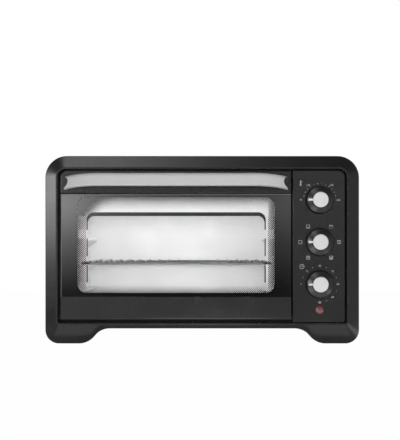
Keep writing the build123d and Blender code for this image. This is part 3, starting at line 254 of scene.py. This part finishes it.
FINISH = {
    "frame_black": moulded("frame_black", low=0.008, high=0.011, rough=0.28),
    "panel_black": moulded("panel_black", low=0.008, high=0.011, rough=0.23),
    "rail_black": moulded("rail_black", low=0.008, high=0.011, rough=0.26),
    "knob_black": moulded("knob_black", low=0.015, high=0.019, rough=0.3),
    "cap_white": moulded("cap_white", low=0.66, high=0.70, rough=0.35, coat=0.15),
    "case_black": coated("case_black", low=0.013, high=0.018, rough=0.48),
    "chassis_black": coated("chassis_black", low=0.004, high=0.006, rough=0.6),
    "zinc_sheet": sheet_metal("zinc_sheet", low=0.50, high=0.62, rough=0.42, metallic=0.9),
    "cavity_steel": sheet_metal("cavity_steel", low=0.80, high=0.86, rough=0.42, metallic=0.2),
    # Near-black coat of the mouth's shield: painted shade for the dark band around the cavity's mouth
    "shield_dark": coated("shield_dark", low=0.010, high=0.015, rough=0.5, gloss=0.1),
    "rack_chrome": sheet_metal(
        "rack_chrome", low=0.24, high=0.30, rough=0.2, metallic=1.0, along=(1, 12, 1),
    ),
    "heater_steel": heated("heater_steel"),
    "insulator_ceramic": moulded("insulator_ceramic", low=0.74, high=0.82, rough=0.6, tint=(1, 0.97, 0.92)),
    "plated_steel": sheet_metal("plated_steel", low=0.60, high=0.70, rough=0.3, metallic=0.3),
    "door_glass": clear_glass("door_glass"),
    "handle_silver": sheet_metal(
        "handle_silver", low=0.60, high=0.63, rough=0.45, metallic=0.0,
        along=(60, 1, 1), grain=0.18, depth=0.006, gloss=0.05,
    ),
    "lens_red": lamp_lens("lens_red"),
    "control_brown": moulded("control_brown", low=0.10, high=0.15, rough=0.5, tint=(1, 0.62, 0.42)),
    "rubber_black": moulded("rubber_black", low=0.016, high=0.024, rough=0.75, grain=0.6, depth=0.05),
}
INK = printed("dial_ink", low=0.50, high=0.58, rough=0.5)
FRIT = printed("black_frit", low=0.002, high=0.004, rough=0.08, gloss=0.66)
# Painted shadow: black strip on the pane under the top rail
RAIL_SHADOW_INK = printed("painted_rail_shadow", low=0.003, high=0.005, rough=0.7)
# Painted highlight: light strip on the pane's ground edge
GROUND_EDGE_HIGHLIGHT = printed("ground_edge_highlight", low=0.13, high=0.18, rough=0.35)

# Cavity side walls, with painted shade along their front edge
wall_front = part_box("cavity_left_wall")[0][1]
SHADED_WALL = shaded_wall_sheet("wall_steel_painted_shade", low=0.90, high=0.95, rough=0.42, metallic=0.2, front=wall_front)

for entry in frame["record"]["subparts"]:
    piece = nodes[entry["node"]]
    piece.data.materials.clear()
    piece.data.materials.append(FINISH[entry["material_slot"]])
for node in ("cavity_left_wall", "cavity_right_wall"):
    nodes[node].data.materials[0] = SHADED_WALL


# Pieces

PRINT_T = 0.06 * MM


def new_piece(name, mesh, material):
    data = bpy.data.meshes.new(name)
    mesh.to_mesh(data)
    mesh.free()
    data.materials.append(material)
    piece = bpy.data.objects.new(name, data)
    bpy.context.collection.objects.link(piece)
    return piece


def thicken(mesh):
    """Closes flat front faces into a thin print that reaches back towards +Y."""
    moved = bmesh.ops.extrude_face_region(mesh, geom=list(mesh.faces))["geom"]
    verts = [v for v in moved if isinstance(v, bmesh.types.BMVert)]
    bmesh.ops.translate(mesh, verts=verts, vec=(0, PRINT_T, 0))
    bmesh.ops.recalc_face_normals(mesh, faces=mesh.faces)


def print_piece(name, mesh, material, body):
    """Thin print that rides on a body."""
    thicken(mesh)
    piece = new_piece(name, mesh, material)
    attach(piece, body)


def polygon(mesh, points, y):
    mesh.faces.new([mesh.verts.new((x, y, z)) for x, z in points])


def disc(mesh, x, z, y, radius, sides=8):
    angles = [2 * math.pi * (i + 0.5) / sides for i in range(sides)]
    polygon(mesh, [(x + radius * math.cos(a), z + radius * math.sin(a)) for a in angles], y)


def tile(mesh, x, z, y, reach):
    """Square on its corner: tiles of a dot lattice meet edge to edge."""
    polygon(mesh, [(x + reach, z), (x, z + reach), (x - reach, z), (x, z - reach)], y)


def bar(mesh, x0, x1, z0, z1, y):
    polygon(mesh, [(x0, z0), (x1, z0), (x1, z1), (x0, z1)], y)


def ring(mesh, x, z, y, outer, inner, sides=24):
    for i in range(sides):
        a, b = 2 * math.pi * i / sides, 2 * math.pi * (i + 1) / sides
        points = ((outer, a), (outer, b), (inner, b), (inner, a))
        polygon(mesh, [(x + r * math.cos(t), z + r * math.sin(t)) for r, t in points], y)


# Printed border of the door glass, with dots that fade into the clear window

glass_low, glass_high = [Vector(v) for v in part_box("door_glass")]
rail_high = Vector(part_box("door_bottom_rail")[1])
top_low = Vector(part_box("door_top_rail")[0])
PRINT_PROUD = 0.08 * MM
PRINT_Y = glass_low.y - PRINT_PROUD
EDGE_Y = PRINT_Y - 2 * PRINT_T
# Width of the painted highlight strip on the pane's edge
EDGE_HIGHLIGHT_W = 0.9 * MM
# Height of the painted shadow strip under the top rail
RAIL_SHADOW_H = 1.2 * MM
# Border: its widths at the sides, its height at the rails and its gap to the pane's edge
BORDER_LEFT, BORDER_RIGHT = 23.4 * MM, 23.3 * MM
BORDER_END = 5.6 * MM
BORDER_GAP = 0.3 * MM
WINDOW_LEFT, WINDOW_RIGHT = glass_low.x + BORDER_LEFT, glass_high.x - BORDER_RIGHT
WINDOW_LOW, WINDOW_HIGH = rail_high.z + BORDER_END, top_low.z - BORDER_END
WINDOW_R = 13.6 * MM
# Dots: their lattice, and their radius as a share of its pitch
DOT_PITCH = 2.859 * MM
DOT_START = Vector((0.43, 0.49)) * MM
DOT_LEAST, DOT_GROWTH = 0.08, 0.27
# Shares of ink: the faintest dot, the largest dot and where dots close into a solid print
FAINT_SHARE, FULL_SHARE, SOLID_SHARE = 0.02, 1.1, 1.25
# Bands of dots along the window's edges, and how their ink falls
LOW_BAND, HIGH_BAND = 10.5 * MM, 17.0 * MM
LEFT_BAND, RIGHT_BAND = 12.0 * MM, 9.5 * MM
SIDE_SHARE, SIDE_FALL = 1.1, 0.4
# Head of the left band, printed solid as painted shade: how deep it reaches from the window's top and its
# share of ink
SHADE_HEAD_BAND, SHADE_HEAD_SHARE = 27.5 * MM, 1.6
# Upper left corner of the window, where extra dots are painted shade and run out along an arc
SHADE_CORNER = Vector((50.0, 42.0)) * MM
SHADE_CORNER_CLEAR, SHADE_CORNER_FADE, SHADE_CORNER_FALL = 27.0 * MM, 13.0 * MM, 22.0 * MM


def window_loop(sides=10):
    """Rounded outline of the clear window, anticlockwise from its right side."""
    loop = []
    corners = [
        (WINDOW_RIGHT - WINDOW_R, WINDOW_HIGH - WINDOW_R, 0),
        (WINDOW_LEFT + WINDOW_R, WINDOW_HIGH - WINDOW_R, 1),
        (WINDOW_LEFT + WINDOW_R, WINDOW_LOW + WINDOW_R, 2),
        (WINDOW_RIGHT - WINDOW_R, WINDOW_LOW + WINDOW_R, 3),
    ]
    for x, z, quarter in corners:
        for i in range(sides + 1):
            a = math.pi / 2 * (quarter + i / sides)
            loop.append((x + WINDOW_R * math.cos(a), z + WINDOW_R * math.sin(a)))
    return loop


def border_outline(loop):
    """Point of the pane's edge that faces each point of the window's outline."""
    low = Vector((glass_low.x + BORDER_GAP, glass_low.z + BORDER_GAP))
    high = Vector((glass_high.x - BORDER_GAP, glass_high.z - BORDER_GAP))
    per_side = len(loop) // 4
    middle = (per_side - 1) / 2
    outline = []
    for i, (x, z) in enumerate(loop):
        quarter, step = divmod(i, per_side)
        right, top = quarter in (0, 3), quarter in (0, 1)
        ends = (high.x if right else low.x, high.y if top else low.y)
        upright = (quarter % 2 == 0) == (step < middle)
        if step == middle:
            outline.append(ends)
        elif upright:
            outline.append((ends[0], z))
        else:
            outline.append((x, ends[1]))
    return outline


def glass_border():
    mesh = bmesh.new()
    loop = window_loop()
    inner = [mesh.verts.new((x, PRINT_Y, z)) for x, z in loop]
    outer = [mesh.verts.new((x, PRINT_Y, z)) for x, z in border_outline(loop)]
    count = len(loop)
    for i in range(count):
        j = (i + 1) % count
        mesh.faces.new([inner[i], outer[i], outer[j], inner[j]])
    print_piece("glass_border", mesh, FRIT, "door")


def fade(x, z):
    """Share of ink at a point of the window, falling from each edge inwards; at the upper left, solid print
    and extra dots are painted shade.
    """
    shares = [1 - (z - WINDOW_LOW) / LOW_BAND, 1 - (WINDOW_HIGH - z) / HIGH_BAND]
    for inward, band in ((x - WINDOW_LEFT, LEFT_BAND), (WINDOW_RIGHT - x, RIGHT_BAND)):
        if inward < band:
            shares.append(SIDE_SHARE - SIDE_FALL * inward / band)
    # Painted shade: solid print at the head of the left band
    if x - WINDOW_LEFT < LEFT_BAND and WINDOW_HIGH - z < SHADE_HEAD_BAND:
        shares.append(SHADE_HEAD_SHARE - SIDE_FALL * (x - WINDOW_LEFT) / LEFT_BAND)
    # Painted shade: extra dots in the upper left corner
    offset = SHADE_CORNER - Vector((x - WINDOW_LEFT, WINDOW_HIGH - z))
    if min(offset) > 0:
        shares.append((offset.length - SHADE_CORNER_CLEAR) / SHADE_CORNER_FADE * min(1, offset.y / SHADE_CORNER_FALL))
    return max(shares)


def inside_window(x, z):
    dx = max(WINDOW_LEFT + WINDOW_R - x, x - WINDOW_RIGHT + WINDOW_R, 0)
    dz = max(WINDOW_LOW + WINDOW_R - z, z - WINDOW_HIGH + WINDOW_R, 0)
    return math.hypot(dx, dz) < WINDOW_R


def dot(mesh, x, z, share):
    """Dot that grows with its share of ink, or a tile where the print is solid, which paints shade at the
    window's upper left.
    """
    if share > SOLID_SHARE:
        tile(mesh, x, z, PRINT_Y, DOT_PITCH / 2)
    else:
        radius = DOT_PITCH * (DOT_LEAST + DOT_GROWTH * min(share, FULL_SHARE))
        disc(mesh, x, z, PRINT_Y, radius, sides=6)


def glass_dots():
    """Staggered rows of dots; the rows along the head stand a quarter pitch aside."""
    mesh = bmesh.new()
    rows = int((WINDOW_HIGH - WINDOW_LOW) / (DOT_PITCH / 2))
    columns = int((WINDOW_RIGHT - WINDOW_LEFT) / DOT_PITCH)
    for row in range(rows + 1):
        z = WINDOW_LOW + DOT_START.y + row * DOT_PITCH / 2
        shift = DOT_PITCH / 4 if WINDOW_HIGH - z < SHADE_HEAD_BAND else 0.0
        for column in range(columns + 1):
            x = WINDOW_LEFT + DOT_START.x + shift + (column + 0.5 * (row % 2)) * DOT_PITCH
            share = fade(x, z)
            if share > FAINT_SHARE and inside_window(x, z):
                dot(mesh, x, z, share)
    print_piece("glass_dots", mesh, FRIT, "door")


def pane_edge_highlight():
    """Painted highlight: a light strip for the pane's ground edge, drawn along its left side and its top
    only, where the edge catches the light.
    """
    mesh = bmesh.new()
    left, right, low, high = glass_low.x, glass_high.x, rail_high.z, top_low.z - RAIL_SHADOW_H
    bar(mesh, left, left + EDGE_HIGHLIGHT_W, low, high - EDGE_HIGHLIGHT_W, EDGE_Y)
    bar(mesh, left, right, high - EDGE_HIGHLIGHT_W, high, EDGE_Y)
    print_piece("pane_edge_highlight", mesh, GROUND_EDGE_HIGHLIGHT, "door")


def painted_rail_shadow():
    """Painted shadow: a black strip on the pane just under the top rail."""
    mesh = bmesh.new()
    bar(mesh, glass_low.x, glass_high.x, top_low.z - RAIL_SHADOW_H, top_low.z, EDGE_Y)
    print_piece("painted_rail_shadow", mesh, RAIL_SHADOW_INK, "door")


glass_border()
glass_dots()
pane_edge_highlight()
painted_rail_shadow()


# Dial marks on the control panel, with angles in degrees from the right, anticlockwise

panel_low = Vector(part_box("control_panel")[0])
MARK_PROUD = 0.04 * MM
MARK_Y = panel_low.y - MARK_PROUD
FIRST_MARK = 180
DOT_R = 0.5 * MM
# Numerals: the height of their figures, the size of a font that gives it, and the steps in its curves
NUMERAL_H = 2.6 * MM
FONT_SIZE = 1.4 * NUMERAL_H
FONT_STEPS = 3
# Temperature: numerals with their angles, dots between them and a sign beside the dial
TEMPERATURES = {"90": FIRST_MARK, "130": 128, "190": 52, "230": 0}
TEMPERATURE_R, TEMPERATURE_DOTS_R = 26.8 * MM, 23.5 * MM
TEMPERATURE_DOTS, FIRST_DOT, DOT_STEP = 12, 165, 13.65
TEMPERATURE_SIGN = Vector((-27.4, 24.2)) * MM
# Function: angle of each sign, and the levels of its bars from -1 at the bottom to 1 at the top
FUNCTIONS = [
    (FIRST_MARK, ()), (126.5, (-1,)), (53.5, (1,)), (0, (-1, 1)), (-53.5, (-1, 0)), (-126.5, (0, 1)),
]
FUNCTION_R = 27.6 * MM
# Timer: a numeral every ten minutes, with a dot between each two
TIMER_NUMERALS, TIMER_MINUTES, TIMER_STEP = 7, 10, 45
TIMER_R, TIMER_DOTS_R = 26.2 * MM, 25.6 * MM
TIMER_SIGN = Vector((-25.3, 25.2)) * MM


def knob_axis(name):
    low, high = [Vector(v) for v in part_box(name + "_knob")]
    return (low.x + high.x) / 2, (low.z + high.z) / 2


def polar(centre, radius, degrees):
    a = math.radians(degrees)
    return centre[0] + radius * math.cos(a), centre[1] + radius * math.sin(a)


def numeral(name, text, x, z):
    """Numeral as a thin raised print."""
    curve = bpy.data.curves.new(name, "FONT")
    curve.body = text
    curve.align_x, curve.align_y = "CENTER", "CENTER"
    curve.size = FONT_SIZE
    curve.extrude = PRINT_T / 2
    curve.resolution_u = FONT_STEPS
    curve.materials.append(INK)
    piece = bpy.data.objects.new(name, curve)
    piece.location = (x, MARK_Y + PRINT_T / 2, z)
    piece.rotation_euler = (math.pi / 2, 0, 0)
    bpy.context.collection.objects.link(piece)
    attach(piece, "oven")


def thermometer_sign(mesh, x, z):
    """Bulb and stem, with three ticks beside the stem."""
    bulb_r, bulb_drop = 1.3 * MM, 2.6 * MM
    stem_half, stem_down, stem_up = 0.65 * MM, 2.0 * MM, 3.6 * MM
    tick_near, tick_far, tick_t = 1.2 * MM, 2.4 * MM, 0.4 * MM
    tick_start, tick_pitch = 0.4 * MM, 1.3 * MM
    disc(mesh, x, z - bulb_drop, MARK_Y, bulb_r, sides=14)
    bar(mesh, x - stem_half, x + stem_half, z - stem_down, z + stem_up, MARK_Y)
    for i in range(3):
        low = z + tick_start + i * tick_pitch
        bar(mesh, x + tick_near, x + tick_far, low, low + tick_t, MARK_Y)


def oven_sign(mesh, x, z, levels):
    """Little oven: a square outline with its heated levels as thick bars inside."""
    half, line = 2.5 * MM, 0.45 * MM
    reach, thick, rise = 1.6 * MM, 0.6 * MM, 1.3 * MM
    bar(mesh, x - half, x + half, z + half - line, z + half, MARK_Y)
    bar(mesh, x - half, x + half, z - half, z - half + line, MARK_Y)
    bar(mesh, x - half, x - half + line, z - half + line, z + half - line, MARK_Y)
    bar(mesh, x + half - line, x + half, z - half + line, z + half - line, MARK_Y)
    for level in levels:
        middle = z + level * rise
        bar(mesh, x - reach, x + reach, middle - thick / 2, middle + thick / 2, MARK_Y)


def clock_sign(mesh, x, z):
    """Round face with an upright hand and a level one."""
    outer, inner = 3.4 * MM, 2.8 * MM
    half, upright, level = 0.3 * MM, 2.0 * MM, 1.5 * MM
    ring(mesh, x, z, MARK_Y, outer, inner)
    bar(mesh, x - half, x + half, z - half, z + upright, MARK_Y)
    bar(mesh, x + half, x + level, z - half, z + half, MARK_Y)


def temperature_marks():
    centre = knob_axis("temperature")
    for text, angle in TEMPERATURES.items():
        numeral("temperature_" + text, text, *polar(centre, TEMPERATURE_R, angle))
    mesh = bmesh.new()
    for i in range(TEMPERATURE_DOTS):
        disc(mesh, *polar(centre, TEMPERATURE_DOTS_R, FIRST_DOT - DOT_STEP * i), MARK_Y, DOT_R)
    thermometer_sign(mesh, centre[0] + TEMPERATURE_SIGN.x, centre[1] + TEMPERATURE_SIGN.y)
    print_piece("temperature_marks", mesh, INK, "oven")


def function_marks():
    centre = knob_axis("function")
    mesh = bmesh.new()
    for angle, levels in FUNCTIONS:
        oven_sign(mesh, *polar(centre, FUNCTION_R, angle), levels)
    print_piece("function_marks", mesh, INK, "oven")


def timer_marks():
    centre = knob_axis("timer")
    for i in range(TIMER_NUMERALS):
        text = str(TIMER_MINUTES * i)
        numeral("timer_" + text, text, *polar(centre, TIMER_R, FIRST_MARK - TIMER_STEP * i))
    mesh = bmesh.new()
    for i in range(TIMER_NUMERALS - 1):
        disc(mesh, *polar(centre, TIMER_DOTS_R, FIRST_MARK - TIMER_STEP * (i + 0.5)), MARK_Y, DOT_R)
    clock_sign(mesh, centre[0] + TIMER_SIGN.x, centre[1] + TIMER_SIGN.y)
    print_piece("timer_marks", mesh, INK, "oven")


temperature_marks()
function_marks()
timer_marks()


# Floor and backdrop, lights and camera

WHITE = (1, 1, 1, 1)
FLOOR_HALF, FLOOR_FRONT, FLOOR_BACK = 1.6, -1.35, 2.2
FLOOR_TONE, FLOOR_ROUGH = 0.86, 0.9
# Share of the floor that shows as plain white to each kind of ray
FLOOR_WHITE = {
    "Is Diffuse Ray": 0.6,
    "Is Glossy Ray": 0.25,
    "Is Transmission Ray": 0.9,
    "Is Camera Ray": 0.985,
}
# World: its strength in front of the oven and behind it, and the directions between which it changes
WORLD_DIM, WORLD_BRIGHT = 0.12, 1.4
WORLD_FROM, WORLD_TO = 0.3, 0.8


def stage_piece(name, mesh, material):
    piece = new_piece(name, mesh, material)
    return piece


def seen_white(tree, surface, shares):
    """Shows a share of a surface as plain white to each kind of ray named."""
    path = tree.nodes.new("ShaderNodeLightPath")
    white = add(tree, "ShaderNodeEmission", Color=WHITE, Strength=1.0)
    for ray, share in shares.items():
        part = tree.nodes.new("ShaderNodeMath")
        part.operation = "MULTIPLY"
        part.inputs[1].default_value = share
        tree.links.new(path.outputs[ray], part.inputs[0])
        surface = mixed(tree, part.outputs[0], surface, white.outputs[0])
    show(tree, surface)


def white_floor():
    mesh = bmesh.new()
    corners = [(-1, FLOOR_FRONT), (1, FLOOR_FRONT), (1, FLOOR_BACK), (-1, FLOOR_BACK)]
    mesh.faces.new([mesh.verts.new((side * FLOOR_HALF, y, 0)) for side, y in corners])
    material, tree, shader = new_material("floor_white")
    shader.inputs["Base Color"].default_value = opaque(grey(FLOOR_TONE))
    shader.inputs["Roughness"].default_value = FLOOR_ROUGH
    seen_white(tree, shader.outputs[0], FLOOR_WHITE)
    stage_piece("floor", mesh, material)


def studio_world():
    """White to the camera; to everything else bright behind the oven and dim in front of it."""
    world = bpy.data.worlds.new("studio")
    world.use_nodes = True
    tree = world.node_tree
    strength = ramp(tree, along_y(tree, "Generated"), WORLD_FROM, WORLD_TO, WORLD_DIM, WORLD_BRIGHT)
    around = add(tree, "ShaderNodeBackground", Color=WHITE, Strength=strength)
    white = tree.nodes["Background"]
    white.inputs["Color"].default_value = WHITE
    white.inputs["Strength"].default_value = 1.0
    path = tree.nodes.new("ShaderNodeLightPath")
    sky = mixed(tree, path.outputs["Is Camera Ray"], around.outputs[0], white.outputs[0])
    show(tree, sky, "World Output")
    bpy.context.scene.world = world


def reflector(name, middle, across, up, width, height, glow, behind_glass=False, steps=32):
    """Card that glows by its glow function, seen in gloss only, or only in gloss behind the pane."""
    mesh = bmesh.new()
    shades = mesh.verts.layers.float_color.new("glow")
    middle, across, up = Vector(middle), Vector(across).normalized(), Vector(up).normalized()
    rows = []
    for i in range(steps + 1):
        above = height * (i / steps - 0.5)
        row = []
        for j in range(steps + 1):
            aside = width * (j / steps - 0.5)
            vert = mesh.verts.new(middle + aside * across + above * up)
            vert[shades] = opaque(grey(glow(aside, above)))
            row.append(vert)
        rows.append(row)
    for near, far in zip(rows, rows[1:]):
        for j in range(steps):
            mesh.faces.new([near[j], near[j + 1], far[j + 1], far[j]])
    material, tree, shader = new_material(name)
    shade = tree.nodes.new("ShaderNodeAttribute")
    shade.attribute_name = "glow"
    light = add(tree, "ShaderNodeEmission", Color=shade.outputs["Color"], Strength=1.0)
    show(tree, light.outputs[0])
    tree.nodes.remove(shader)
    card = stage_piece(name, mesh, material)
    card.visible_camera = card.visible_diffuse = card.visible_shadow = False
    card.visible_glossy = not behind_glass
    card.visible_transmission = behind_glass


def steps_between(value, points):
    """Straight-line reading between points given as (place, level)."""
    if value <= points[0][0]:
        return points[0][1]
    for (a, low), (b, high) in zip(points, points[1:]):
        if value <= b:
            return low + (high - low) * (value - a) / (b - a)
    return points[-1][1]


def softbox(name, place, target, width, height, radiance):
    """Rectangular lamp, hidden in gloss and glass, its power worked out from how bright its face is."""
    lamp = bpy.data.lights.new(name, "AREA")
    lamp.shape = "RECTANGLE"
    lamp.size, lamp.size_y = width, height
    lamp.energy = radiance * math.pi * width * height
    holder = bpy.data.objects.new(name, lamp)
    holder.location = place
    holder.rotation_euler = (Vector(target) - Vector(place)).to_track_quat("-Z", "Y").to_euler()
    holder.visible_glossy = holder.visible_transmission = False
    bpy.context.collection.objects.link(holder)


# Brightness of the cards, as (metres from the card's middle, level)
FRONT_ACROSS = [
    (-0.6, 1.5), (-0.41, 1.2), (-0.3, 0.6), (-0.03, 0.3), (0.28, 0.28), (0.4, 0.5), (0.7, 0.5),
]
FRONT_UP = [
    (-0.2, 0.02), (-0.17, 0.22), (-0.02, 1.6), (0.125, 4.4), (0.142, 4.6), (0.162, 1.2), (0.3, 1.2),
]
PANEL_FROM = [(0.36, 0.0), (0.41, 1.0)]
PANEL_UP = [(-0.3, 0.25), (-0.16, 0.45), (-0.034, 0.75), (0.1, 1.0), (0.17, 1.45), (0.33, 1.6)]
LEFT_UP = [(-0.14, 0.02), (-0.095, 0.05), (-0.03, 1.25), (0.045, 6.5), (0.115, 9.0), (0.185, 6.0)]
TOP_ACROSS = [(-0.34, 1.5), (-0.26, 3.4), (-0.13, 2.3), (0.0, 0.9), (0.14, 0.2), (0.3, 0.05)]


def flat_glow(level):
    return lambda aside, above: level


def left_glow(aside, above):
    return steps_between(above, LEFT_UP)


def top_glow(aside, above):
    return steps_between(aside, TOP_ACROSS)


def front_glow(aside, above):
    """Door's brightness, blended into the panel's towards the right."""
    door = steps_between(aside, FRONT_ACROSS) * steps_between(above, FRONT_UP)
    share = steps_between(aside, PANEL_FROM)
    return door * (1 - share) + steps_between(above, PANEL_UP) * share


white_floor()
studio_world()

# Directions of the cards' edges, and the slope of those that face the bevels
RIGHT, BACK, UP = (1, 0, 0), (0, 1, 0), (0, 0, 1)
STEEP, SHALLOW = 0.788, 0.616
reflector(
    "sky_card", middle=(0.0, -1.6, 0.98), across=RIGHT, up=UP,
    width=4.8, height=1.05, glow=flat_glow(0.35),
)
reflector(
    "plate_card", middle=(0.0, -1.6, 0.8), across=RIGHT, up=UP,
    width=3.0, height=0.7, glow=flat_glow(3.2), behind_glass=True,
)
reflector(
    "table_card", middle=(0.01, -0.24, 0.004), across=RIGHT, up=BACK,
    width=0.18, height=0.1, glow=flat_glow(3.2),
)
reflector(
    "apron_card", middle=(0.0, -0.19, 0.003), across=RIGHT, up=BACK,
    width=0.44, height=0.09, glow=flat_glow(1.0),
)
reflector(
    "toe_card", middle=(0.27, -0.16, 0.004), across=RIGHT, up=BACK,
    width=0.07, height=0.08, glow=flat_glow(2.5),
)
reflector(
    "front_card", middle=(-0.05, -3.0, 0.175), across=RIGHT, up=UP,
    width=1.5, height=0.65, glow=front_glow,
)
reflector(
    "left_card", middle=(-0.61, -0.44, 0.155), across=(SHALLOW, -STEEP, 0), up=UP,
    width=0.5, height=0.41, glow=left_glow,
)
reflector(
    "top_card", middle=(0.0, -0.443, 0.652), across=RIGHT, up=(0, STEEP, SHALLOW),
    width=0.7, height=0.4, glow=top_glow,
)
reflector(
    "right_card", middle=(0.61, -0.44, 0.19), across=(SHALLOW, STEEP, 0), up=UP,
    width=0.5, height=0.42, glow=flat_glow(0.55),
)

# Lamps: one in front, and two just inside the mouth that light the cavity
CAVITY_X = -0.0375
CAVITY_AIM = (CAVITY_X, 0.14, 0.12)
softbox(
    "front_box", place=(0.15, -3.0, 0.25), target=(0, -0.13, 0.15),
    width=2.0, height=0.4, radiance=20.5,
)
softbox(
    "cavity_top", place=(CAVITY_X, -0.110, 0.198), target=CAVITY_AIM,
    width=0.25, height=0.02, radiance=17.0,
)
softbox(
    "cavity_low", place=(CAVITY_X, -0.110, 0.053), target=CAVITY_AIM,
    width=0.25, height=0.006, radiance=15.0,
)

# Camera: sensor and focal length in millimetres, shift of the view in pixels of the photo's longer side
SENSOR, LENS = 36.0, 116.9
PHOTO_SIDE = 440
SHIFT_RIGHT, SHIFT_UP = -4.15, 25.0
EYE = (0.0028, -2.179, 0.1413)

camera = bpy.data.cameras.new("camera")
camera.sensor_width = SENSOR
camera.lens = LENS
camera.shift_x = SHIFT_RIGHT / PHOTO_SIDE
camera.shift_y = SHIFT_UP / PHOTO_SIDE
eye = bpy.data.objects.new("camera", camera)
eye.location = EYE
eye.rotation_euler = (math.pi / 2, 0, 0)
bpy.context.collection.objects.link(eye)
bpy.context.scene.camera = eye
bpy.context.scene.view_settings.view_transform = "Standard"
